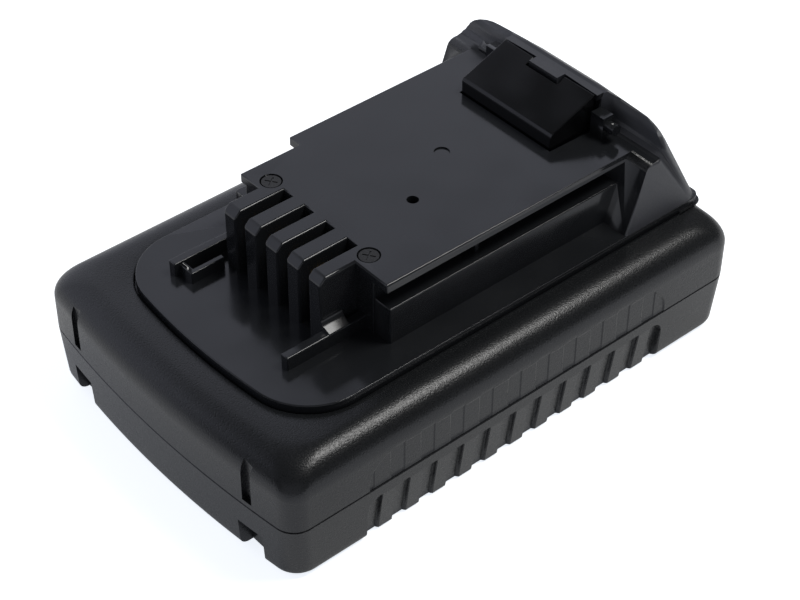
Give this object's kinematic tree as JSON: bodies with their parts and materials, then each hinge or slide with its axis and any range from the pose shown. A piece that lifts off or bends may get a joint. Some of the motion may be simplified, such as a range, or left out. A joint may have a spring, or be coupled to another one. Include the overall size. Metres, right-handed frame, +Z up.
{
  "type": "slide-on battery pack for a cordless tool",
  "caption": "Black slide-on battery pack for a cordless tool, with a rail platform, terminal slots and a sprung latch in front of a sloping tower",
  "frame": {"origin": "middle of the bottom of the part's box, on the floor that the pack stands on", "axes": "+X from the terminal end to the latch end, +Y to the left seen from the terminal end, +Z up from the bottom to the tower"},
  "size_m": [0.117, 0.0764, 0.0507],
  "materials": {
    "satin_abs": "satin, fine spark-eroded grain",
    "gloss_abs": "glossy, as moulded",
    "inner_plastic": "plain moulded",
    "steel": "drawn wire",
    "black_screw": "black oxide",
    "contact_brass": "stamped, tin flashed",
    "nickel": "plain strip",
    "board": "solder mask",
    "chip_plastic": "moulded epoxy",
    "cell_sleeve": "shrink sleeve over a steel can",
    "fish_paper": "plain",
    "foam": "soft closed-cell pad"
  },
  "bodies": {
    "pack": {"lower_case": "satin_abs", "upper_case": "satin_abs", "rail_cover": "gloss_abs", "latch_spring_left": "steel", "latch_spring_right": "steel", "contact_carrier": "inner_plastic", "contact_1": "contact_brass", "contact_2": "contact_brass", "contact_3": "contact_brass", "contact_4": "contact_brass", "circuit_board": "board", "power_switches": "chip_plastic", "board_chips": "chip_plastic", "cell_1": "cell_sleeve", "cell_2": "cell_sleeve", "cell_3": "cell_sleeve", "cell_4": "cell_sleeve", "cell_5": "cell_sleeve", "cell_holder_left": "inner_plastic", "cell_holder_right": "inner_plastic", "cell_links_left": "nickel", "cell_links_right": "nickel", "positive_tab": "nickel", "negative_tab": "nickel", "thermistor": "chip_plastic", "board_insulator": "fish_paper", "end_insulators": "fish_paper", "foam_pad": "foam", "rail_screws": "black_screw", "case_screws": "black_screw"},
    "latch_slider": {"latch": "gloss_abs"}
  },
  "joints": [
    {"name": "latch_press", "type": "slide", "parent": "pack", "child": "latch_slider", "axis": [0, 0, -1], "range_m": [0, 0.005], "stiffness_N_per_m": 600, "springref_m": -0.005, "deforming": ["latch_spring_left", "latch_spring_right"]}
  ]
}
